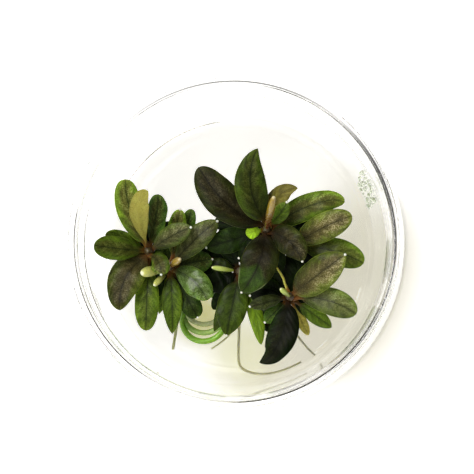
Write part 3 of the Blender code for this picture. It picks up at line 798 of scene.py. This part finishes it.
def rhizome_material():
    """Brown-green rind with darker rings, pale roots, and the green of the thicker ones."""
    nodes = Nodes(bpy.data.materials.new("rhizome rind"))
    kind, height, _ = nodes.kept("place")
    rings = nodes.math("SINE", nodes.times(height, 2 * pi / NODE_PITCH))
    grain = nodes.noise(0.6, 4.0, 0.65)
    mottled = nodes.step(grain, 0.35, 0.7)
    rind = nodes.mix(mottled, *RIND_COLOURS)
    rind = nodes.mix(nodes.step(rings, 0.5, 1.0, 0.0, 0.6), rind, RING_COLOUR)
    colour = nodes.mix(nodes.step(kind, 0.4, 0.6), rind, nodes.mix(mottled, *ROOT_COLOURS))
    colour = nodes.mix(nodes.step(kind, 1.3, 1.9), colour, nodes.mix(mottled, *GREEN_ROOT_COLOURS))
    nodes.set(Base_Color=colour, Roughness=nodes.step(grain, 0.2, 0.8, 0.28, 0.5), Coat_Weight=0.3)
    nodes.set(Subsurface_Weight=0.7, Subsurface_Scale=0.0014, Subsurface_Radius=(1.0, 1.0, 0.6))
    nodes.bump(grain, 0.1, 0.4)
    return nodes.owner


def clear_material(name, colour, ior, roughness, ripple, ripple_size):
    """Clear plastic, gel or water: plain transmission, with the faintest unevenness of a moulding."""
    nodes = Nodes(bpy.data.materials.new(name))
    nodes.set(Base_Color=colour, Roughness=roughness, Transmission_Weight=1.0, IOR=ior)
    nodes.bump(nodes.noise(ripple_size, 2.0, 0.5), ripple, 0.25)
    return nodes.owner


# Plants


def growth_points(plant, distance, turn, height, sway):
    """Points at plan distances from a shoot's stem, in a direction and at heights."""
    out, left = level_directions(turn)
    points = np.array([plant.x, plant.y, 0.0]) + np.outer(distance, out) + np.outer(sway, left)
    points[:, 2] = height
    return points


def midrib(plant, leaf, share, hook):
    """Points of the leaf's midrib, from its foot at 0 to its tip at 1."""
    start = STEM_RADIUS + NODE_SWELLING + GAP
    bulge = 4 * share * (1 - share)
    height = blend(leaf.foot, leaf.tip, share) + leaf.arch * bulge
    distance = blend(start, leaf.reach, share)
    bend = hook * np.clip((share - HOOK_START) / (1 - HOOK_START), 0, 1) ** 2
    return growth_points(plant, distance, leaf.turn, height, leaf.sway * bulge + bend)


def blade_fullness(share, base, tip):
    """The blade's width along its length, as a share of its greatest width."""
    widest = base / (base + tip)
    most = widest**base * (1 - widest) ** tip
    share = np.clip(share, 0.0, 1.0)
    return share**base * (1 - share) ** tip / most


def side_frames(tangent, roll):
    """Side directions and upward ones, square to the tangents and turned about them by the rolls."""
    side = unit(np.cross([0.0, 0.0, 1.0], tangent))
    up = np.cross(tangent, side)
    turn = np.radians(roll)[:, None]
    return side * np.cos(turn) + up * np.sin(turn), up * np.cos(turn) - side * np.sin(turn)


def leaf_points(plant, leaf, hook, fullness, phase):
    """Rings of points round a leaf, from inside the stem to its tip, and their places."""
    stalk_share = WING * leaf.stalk / leaf.reach
    inside = -FOOT_DEPTH / leaf.reach
    spread = np.linspace(0.0, 1.0, ALONG)
    share = inside + (1 - inside) * (1 - (1 - spread) ** CROWDING)
    centre = midrib(plant, leaf, share, hook)
    tangent = unit(midrib(plant, leaf, share + MIDRIB_STEP, hook) - centre)
    side, up = side_frames(tangent, leaf.roll * smoothstep(0.0, stalk_share + 0.05, share))

    blade = ((share - stalk_share) / (1 - stalk_share))[:, None]
    width = leaf.width / 2 * blade_fullness(blade, *fullness)
    stalk = STALK_HALF_WIDTH * (1 - STALK_NARROWING * np.clip(blade, 0, 1))
    stalk += SHEATH_WIDTH * smoothstep(*SHEATH_SPAN, share)[:, None]
    half = (width**3 + stalk**3) ** (1 / 3)
    half[-1] = TIP_HALF_WIDTH
    flat = smoothstep(*FLATTENING_SPAN, blade)

    place = np.sin(pi / 2 * np.linspace(-1, 1, ACROSS))
    edge = np.abs(place)
    crease = np.sqrt(edge**2 + GROOVE**2) - GROOVE
    rise = half * (FOLD * crease - CURL * edge**2) * flat
    waves = np.sin(2 * pi * (MARGIN_WAVES * blade + phase + 0.25 * np.sign(place)))
    rise += MARGIN_WAVE * width * waves * edge**3 * flat
    long_ripple = np.sin(2 * pi * (LONG_RIPPLES * blade + 2 * phase))
    short_ripple = np.sin(2 * pi * (SHORT_RIPPLES * blade + phase))
    rise += RIPPLE * width * (long_ripple + SHORT_RIPPLE_SHARE * short_ripple) * flat

    round_half = STALK_THICKNESS / 2 * np.sqrt(1 - place**2)
    blade_half = BLADE_THICKNESS / 2 * np.sqrt(1 - edge**6)
    thick = blend(round_half, blade_half, flat)
    thick *= blend(TIP_THINNESS, 1.0, smoothstep(*THINNING_SPAN, blade))
    keel = KEEL_DEPTH * (1 - KEEL_FADING * np.clip(blade, 0, 1)) * flat
    keel = keel * np.exp(-((place * half / KEEL_WIDTH) ** 2))

    flank = centre[:, None, :] + side[:, None, :] * (half * place)[:, :, None]
    top = flank + up[:, None, :] * (rise + thick)[:, :, None]
    low = flank + up[:, None, :] * (rise - thick - keel)[:, :, None]
    rings = np.concatenate([top, low[:, -2:0:-1]], axis=1)
    across = np.concatenate([place, place[-2:0:-1]])
    places = np.stack(np.broadcast_arrays(across, np.clip(blade, -1, 1)), axis=2)
    return rings, places


def make_leaf(name, plant, leaf, skins, seed, in_model=True):
    """A fine leaf in place of its solid, if it has one, with its underside in a paler skin."""
    draw = Random(seed)
    fullness = BASES.get(name, BASE_FULLNESS), TIPS.get(name, TIP_FULLNESS)
    rings, places = leaf_points(plant, leaf, HOOKS.get(name, 0.0), fullness, draw.random())
    around = rings.shape[1]
    points = rings.reshape(-1, 3).tolist()
    value, blush, side = SHADES.get(name, USUAL_SHADE)
    value *= draw.uniform(*SHADE_CHANGES)
    places = [(*pair, value) for pair in places.reshape(-1, 2).tolist()]
    faces = ring_faces(ALONG, around)
    slots = [int(face[0] % around >= ACROSS - 1) for face in faces]
    last = (ALONG - 1) * around
    faces += [tuple(range(around))[::-1], tuple(range(last, last + around))]
    slots += [1, 0]
    if name in BEADED:
        join(points, faces, ball(rings[-1].mean(axis=0), TIP_BEAD))
        slots += [0] * (len(faces) - len(slots))
        places += [(0.0, BEAD_PLACE, value)] * (len(points) - len(places))
    obj = add_piece(f"fine_leaf_{name}", points, faces, skins[leaf.tone], slots)
    keep_values(obj, "place", places)
    keep_values(obj, "look", [(blush, side, PATCH_ENDS.get(name, WHOLE_LEAF))] * len(points))
    if in_model:
        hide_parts(f"leaf_{name}")


def make_rolled_leaf(name, plant, leaf, skins):
    """A rolled young leaf: a spear that swells and narrows."""
    share = np.linspace(0.0, ROLLED_END, ROLLED_STATIONS)
    height = blend(leaf.foot, leaf.tip, share) + leaf.arch * 4 * share * (1 - share)
    distance = blend(leaf.start, leaf.reach, share)
    path = growth_points(plant, distance, leaf.turn, height, np.zeros(len(share)))
    radii = leaf.width / 2 * (0.55 + 0.9 * share) * (1 - share**3) ** 0.6
    points, faces = tube(path, radii, ROLLED_SIDES)
    obj = add_piece(f"fine_young_leaf_{name}", points, faces, [skins[leaf.tone]])
    along = [*np.repeat(share, ROLLED_SIDES), 0.0, 1.0]
    keep_values(obj, "place", [(0.0, value, 0.0) for value in along])
    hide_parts(f"young_leaf_{name}")


def stem_points(plant, height):
    """The rhizome's line at these heights: it leans from its foot, and is upright among the leaves."""
    bend_height = plant.top - STEM_STRAIGHT
    lean = np.clip((bend_height - height) / (bend_height - STEM_FOOT_HEIGHT), 0, None) ** STEM_LEAN_POWER
    return np.stack([blend(plant.x, plant.foot_x, lean), blend(plant.y, plant.foot_y, lean), height], axis=1)


def stem_point(plant, height):
    """The rhizome's point at a height, among the stations that its solid has."""
    stations = np.linspace(STEM_FOOT_HEIGHT, plant.top, SOLID_STATIONS)
    nearest = stations[np.argmin(np.abs(stations - height))]
    return stem_points(plant, np.array([nearest]))[0]


def root_path(plant, root):
    """A root's line, from inside the stem out and down into the gel."""
    start = stem_point(plant, root.height)
    share = np.linspace(0.0, 1.0, ROOT_STATIONS)
    out, left = level_directions(root.turn)
    path = start + np.outer(root.reach * share, out) + np.outer(root.sway * 4 * share * (1 - share), left)
    path[:, 2] -= (start[2] - root.end) * (1 - (1 - share) ** ROOT_DIVE)
    return path


def wall_root_path(plant):
    """The longest root's line: it leaves the middle shoot, bends at the cup's wall and follows it round."""
    start = stem_point(plant, GEL_TOP + 1)
    landing = (WALL_ROOT_RING - WALL_ROOT_BEND) * level_directions(WALL_ROOT_SPAN[0])[0]
    share = np.linspace(0.0, 1.0, WALL_ROOT_STATIONS // 2)[:-1]
    inner = start + np.outer(share, landing - start)
    inner[:, 2] = start[2] - (start[2] - WALL_ROOT_HEIGHT) * (1 - (1 - share) ** ROOT_DIVE)
    share = np.linspace(0.0, 1.0, WALL_ROOT_STATIONS)
    angle = np.radians(blend(*WALL_ROOT_SPAN, share))
    ring = WALL_ROOT_RING - WALL_ROOT_BEND * (1 - share) ** 4
    outer = np.stack([ring * np.cos(angle), ring * np.sin(angle), 0 * share + WALL_ROOT_HEIGHT], axis=1)
    return np.vstack([inner, outer])


def coil_root_path(plant):
    """The thick green root's line: it leaves the second shoot and lies coiled in the top of the gel."""
    share = np.linspace(0.0, 1.0, COIL_STATIONS)
    angle = np.radians(blend(*COIL_SPAN, share))
    ring = blend(*COIL_RADII, share)
    x = COIL_CENTRE[0] + COIL_DRIFT[0] * share + ring * np.cos(angle)
    y = COIL_CENTRE[1] + COIL_DRIFT[1] * share + ring * np.sin(angle)
    coil = np.stack([x, y, blend(*COIL_HEIGHTS, share)], axis=1)
    start = stem_point(plant, COIL_HEIGHTS[0] + 1)
    lead = start + np.outer(np.linspace(0, 1, COIL_LEAD_STATIONS)[:-1], coil[0] - start)
    return np.vstack([lead, coil])


def softened(path):
    """The path with its corners eased."""
    path = path.copy()
    for _ in range(SOFTENING_PASSES):
        path[1:-1] = (path[:-2] + 2 * path[1:-1] + path[2:]) / 4
    return path


def make_rhizome(letter, plant, skin):
    """A fine rhizome with its roots in place of its solid."""
    height = np.linspace(STEM_FOOT_HEIGHT, plant.top, STEM_STATIONS)
    radii = STEM_RADIUS + NODE_SWELLING * np.cos(2 * pi * height / NODE_PITCH)
    radii[-len(STEM_TIP_RADII):] *= STEM_TIP_RADII
    strands = [(stem_points(plant, height), radii, STEM_SIDES, STEM_KIND)]
    for root in plant.roots:
        kind = ROOT_KIND if root.radius < GREEN_ROOT_RADIUS else GREEN_ROOT_KIND
        strands.append((root_path(plant, root), root.radius, ROOT_SIDES, kind))
    if letter == "m":
        strands.append((softened(wall_root_path(plant)), WALL_ROOT_RADIUS, ROOT_SIDES, ROOT_KIND))
    if letter == "b":
        strands.append((softened(coil_root_path(plant)), COIL_ROOT_RADIUS, ROOT_SIDES, COIL_KIND))
    points = []
    faces = []
    places = []
    for path, radius, sides, kind in strands:
        if kind != STEM_KIND:
            taper = COIL_TAPER if kind == COIL_KIND else ROOT_TAPER
            radius = radius * (1 - taper * np.arange(len(path)) / len(path))
        join(points, faces, tube(path, radius, sides))
        strand = points[len(places):]
        paling = COIL_PALING * (kind == COIL_KIND) / len(strand)
        places += [(kind - paling * index, point[2], 0.0) for index, point in enumerate(strand)]
    obj = add_piece(f"fine_rhizome_{letter}", points, faces, [skin])
    keep_values(obj, "place", places)
    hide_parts(f"rhizome_{letter}")


# Cup and gel


def wall_radius(height):
    """Radius of the cup's outer wall between its bottom corner and the ledge."""
    share = (height - BASE_CORNER) / (LEDGE_HEIGHT - BASE_CORNER)
    return blend(BASE_RADIUS, NECK_RADIUS - LEDGE_STEP, share)


def cup_profile():
    """The cup's section: under the floor, up outside, down and up the skirt, then down inside."""
    ledge_radius = NECK_RADIUS - LEDGE_STEP
    ledge_top = LEDGE_HEIGHT + INNER_STEP
    skirt_foot = RIM_HEIGHT - SKIRT_DROP
    rim_underside = RIM_HEIGHT - RIM_DEPTH
    rim_outside = RIM_RADIUS + RIM_WIDTH
    return [
        (0.0, FLOOR_UNDERSIDE),
        (FOOT_INNER - FOOT_SLOPE, FLOOR_UNDERSIDE),
        (FOOT_INNER, 0.0),
        (FOOT_OUTER, 0.0),
        (wall_radius(CORNER_HEIGHT), CORNER_HEIGHT),
        (ledge_radius, LEDGE_HEIGHT - LEDGE_RISE / 2, LEDGE_ROUNDING),
        (NECK_RADIUS, LEDGE_HEIGHT + LEDGE_RISE / 2, LEDGE_ROUNDING),
        (RIM_RADIUS, rim_underside + NOTCH_DEPTH, NOTCH_ROUNDING),
        (RIM_RADIUS + NOTCH_WIDTH, rim_underside, NOTCH_ROUNDING),
        (RIM_RADIUS + RIM_WIDTH / 2, rim_underside),
        (SKIRT_RADIUS - SKIRT_THICKNESS, skirt_foot),
        (SKIRT_RADIUS, skirt_foot),
        (rim_outside, rim_underside - RIM_BEVEL),
        (rim_outside, RIM_HEIGHT - RIM_BEVEL),
        (rim_outside - RIM_BEVEL, RIM_HEIGHT),
        (RIM_RADIUS, RIM_HEIGHT),
        (RIM_RADIUS - RIM_ROUND * 2, RIM_HEIGHT - RIM_ROUND),
        (NECK_RADIUS - WALL, RIM_HEIGHT - RIM_DEPTH * 1.5),
        (NECK_RADIUS - WALL, ledge_top + LEDGE_RISE / 2, LEDGE_ROUNDING),
        (ledge_radius - WALL, ledge_top - LEDGE_RISE / 2, LEDGE_ROUNDING),
        (wall_radius(BASE_CORNER + WALL) - WALL, BASE_CORNER + WALL),
        (BASE_RADIUS - WALL - FLOOR_FILLET, FLOOR_TOP + INNER_STEP),
        (BASE_RADIUS - WALL - FLOOR_EDGE, FLOOR_TOP),
        (0.0, FLOOR_TOP),
    ]


def ribbed(radius, height, angles):
    """The ring's radius round the cup: ribs on the outside of the skirt, and a plain ring elsewhere."""
    on_skirt = RIM_HEIGHT - SKIRT_DROP <= height <= RIM_HEIGHT - RIM_DEPTH
    if on_skirt and radius > RIM_RADIUS + RIM_WIDTH + RIM_BEVEL:
        return radius - SKIRT_RIB_DEPTH * (0.5 + 0.5 * np.cos(SKIRT_RIBS * angles))
    return np.full(len(angles), radius)


def make_cup():
    points, faces = lathe(rounded(cup_profile()), CUP_SEGMENTS, ribbed)
    cup = add_piece("fine_cup", points, faces, [clear_material(*PLASTIC)])
    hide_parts("cup")


def make_gel():
    """The gel as one clear body that closes round the stems and roots, with a faintly uneven top."""
    low_edge = wall_radius(BASE_CORNER + WALL) - WALL + GEL_IN_WALL
    high_edge = wall_radius(GEL_TOP + GEL_MENISCUS) - WALL + GEL_IN_WALL
    profile = rounded([
        (0.0, FLOOR_TOP - GEL_IN_WALL),
        (BASE_RADIUS - WALL - FLOOR_EDGE, FLOOR_TOP - GEL_IN_WALL),
        (BASE_RADIUS - WALL - FLOOR_FILLET, FLOOR_TOP + INNER_STEP - GEL_IN_WALL),
        (low_edge, BASE_CORNER + WALL),
        (high_edge, GEL_TOP + GEL_MENISCUS),
    ])
    for ring in range(1, GEL_RINGS + 1):
        share = ring / GEL_RINGS
        radius = high_edge * (1 - share)
        climb = max(0.0, 1 - (high_edge - radius) / GEL_EDGE)
        profile.append((radius, GEL_TOP + GEL_MENISCUS * climb**2))
    points, faces = lathe(profile, GEL_SEGMENTS)
    points = np.array(points)
    x, y, height = points.T
    on_top = (height >= GEL_TOP - 0.01) & (np.hypot(x, y) < high_edge - GEL_EDGE)
    waves = np.sin(x * GEL_WAVE_TURNS[0] + GEL_WAVE_START) * np.sin(y * GEL_WAVE_TURNS[1])
    waves += np.sin(x * SLANTED_WAVE_TURNS[0] + y * SLANTED_WAVE_TURNS[1])
    points[on_top, 2] += GEL_WAVES * waves[on_top]
    gel = add_piece("fine_gel", points, faces, [clear_material(*CLEAR_GEL)])
    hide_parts("gel")


def make_droplets():
    """Small drops of condensation on the inside of the wall."""
    draw = Random(DROP_SEED)
    points = []
    faces = []
    for _ in range(DROP_COUNT):
        angle = radians(draw.uniform(*DROP_SPAN))
        height = draw.uniform(*DROP_HEIGHTS)
        radius = blend(*DROP_RADII, draw.random() ** 2)
        ring = wall_radius(height) - WALL - DROP_INSET * radius
        centre = (ring * cos(angle), ring * sin(angle), height)
        join(points, faces, ball(centre, radius, 6, 10))
    drops = add_piece("wall_droplets", points, faces, [clear_material(*WATER)])


# Stage


def make_camera():
    """The photograph's view: nearly straight down, from a little below and right of the cup's axis."""
    data = bpy.data.cameras.new("camera")
    data.lens = CAMERA_LENS
    data.sensor_width = 36.0
    data.clip_start = 0.01
    data.clip_end = 20.0
    camera = link(bpy.data.objects.new("camera", data))
    camera.location = Vector(CAMERA_PLACE) * MM
    camera.rotation_mode = "QUATERNION"
    camera.rotation_quaternion = Vector((0, 0, -1)).rotation_difference(Vector(CAMERA_AIM))
    bpy.context.scene.camera = camera


def make_floor():
    """The pale glowing floor, with painted shade and painted tinted light where the cup and plants would leave
    them.
    """
    nodes = Nodes(bpy.data.materials.new("pale floor"))
    math, mix, step, times = nodes.math, nodes.mix, nodes.step, nodes.times
    x, y, _ = nodes.split(nodes.put("TexCoord")["Object"])

    def towards(side):
        return times(x, side[0], times(y, side[1]))

    def distance(centre):
        right = math("SUBTRACT", x, centre[0] * MM)
        up = math("SUBTRACT", y, centre[1] * MM)
        return math("SQRT", times(right, right, times(up, up)))

    def within(value, span):
        return step(value, span[0] * MM, span[1] * MM, 1.0, 0.0)

    # Painted shadow of the cup, towards the lower right and reaching past the cup on the right
    aside = towards(SHADE_SIDE)
    away = distance((0.0, 0.0))
    on_right = step(math("DIVIDE", towards(RIGHT_SIDE), away), *RIGHT_TURN)
    past_cup = times(within(away, RIGHT_REACH), on_right)
    near = math("MAXIMUM", within(away, SHADE_REACH), past_cup)
    painted_shade = times(step(aside, SHADE_SPAN[0] * MM, SHADE_SPAN[1] * MM), near)
    light = mix(painted_shade, FLOOR_LIGHT, SHADE_LIGHT)
    # Painted tints for the light that has passed the leaves and the coiled root
    for tint in PAINTED_TINTS:
        light = mix(within(distance(tint.centre), tint.radii), light, tint.light)
    # A painted shadow ring of the ribbed skirt, on the right
    from_ring = math("SUBTRACT", distance(SKIRT_SHADE_CENTRE), SKIRT_SHADE_RADIUS * MM)
    on_painted_shadow_ring = within(math("ABSOLUTE", from_ring), (0.0, SKIRT_SHADE_HALF_WIDTH))
    ring = times(times(on_painted_shadow_ring, on_right), SKIRT_SHADE)
    light = mix(ring, light, (0.0, 0.0, 0.0))
    # Painted darkening of the floor's glow far from the cup on the right
    glow = step(aside, FAR_SPAN[0] * MM, FAR_SPAN[1] * MM, FLOOR_GLOW, FLOOR_GLOW * FAR_LIGHT)
    # The floor's colour is darker in the painted shadow
    colour = mix(painted_shade, FLOOR_COLOUR, SHADED_FLOOR)
    nodes.set(Base_Color=colour, Roughness=0.9, Specular_IOR_Level=0.1)
    nodes.set(Emission_Color=light, Emission_Strength=glow)
    half = FLOOR_HALF * MM
    mesh = bpy.data.meshes.new("floor")
    corners = [(-half, -half, 0), (half, -half, 0), (half, half, 0), (-half, half, 0)]
    mesh.from_pydata(corners, [], [(0, 1, 2, 3)])
    mesh.materials.append(nodes.owner)
    floor = link(bpy.data.objects.new("floor", mesh))
    floor.location.z = -FLOOR_GAP * MM


def make_world():
    """A room that is bright round its sides, more so on the left and in front, and dark overhead."""
    world = bpy.data.worlds.new("room")
    bpy.context.scene.world = world
    nodes = Nodes(world, "Background")
    x, y, z = nodes.split(nodes.put("TexCoord")["Generated"])
    darker = nodes.math("MAXIMUM", nodes.times(y, FRONT_SHARE, x), nodes.times(y, BACK_SHARE))
    sideways = nodes.step(darker, *GLOW_TURNS, LEFT_GLOW, RIGHT_GLOW)
    overhead = nodes.step(z, *GLOW_HEIGHTS, 1.0, OVERHEAD_GLOW)
    nodes.set(Strength=nodes.times(overhead, sideways), Color=WORLD_COLOUR)


def add_soft_light(name, azimuth, elevation, size, watts):
    """A square light that faces the plants from a direction."""
    level = cos(radians(elevation))
    place = Vector((level * cos(radians(azimuth)), level * sin(radians(azimuth)), sin(radians(elevation))))
    place *= LIGHT_DISTANCE
    data = bpy.data.lights.new(name, "AREA")
    data.shape = "SQUARE"
    data.size = size
    data.energy = watts
    data.color = LIGHT_COLOUR
    light = link(bpy.data.objects.new(name, data))
    light.location = place
    light.rotation_mode = "QUATERNION"
    light.rotation_quaternion = (Vector(LIGHT_TARGET) - place).to_track_quat("-Z", "Y")


def set_look():
    scene = bpy.context.scene
    scene.view_settings.view_transform = "Standard"
    scene.view_settings.look = "None"
    scene.cycles.max_bounces = WALL_BOUNCES
    scene.cycles.transmission_bounces = WALL_BOUNCES
    scene.cycles.glossy_bounces = WALL_BOUNCES
    scene.cycles.diffuse_bounces = 4
    scene.cycles.sample_clamp_indirect = 4.0


def main():
    make_camera()
    make_cup()
    make_gel()
    make_droplets()
    skins = {
        key: [leaf_material(f"leaf {key}", tone, False), leaf_material(f"leaf {key} under", tone, True)]
        for key, tone in TONES.items()
    }
    rolled_skins = {key: rolled_material(f"rolled leaf {key}", *tone) for key, tone in ROLLED_TONES.items()}
    rind = rhizome_material()
    seed = 0
    for letter, plant in SHOOTS.items():
        make_rhizome(letter, plant, rind)
        for number, leaf in enumerate(plant.leaves, 1):
            seed += 1
            make_leaf(f"{letter}{number}", plant, leaf, skins, seed)
        for number, leaf in enumerate(SHADED[letter], len(plant.leaves) + 1):
            make_leaf(f"{letter}{number}", plant, leaf, skins, seed + number, in_model=False)
        for number, leaf in enumerate(plant.rolled, 1):
            make_rolled_leaf(f"{letter}{number}", plant, leaf, rolled_skins)
    make_floor()
    make_world()
    for light in LIGHTS:
        add_soft_light(*light)
    set_look()


main()
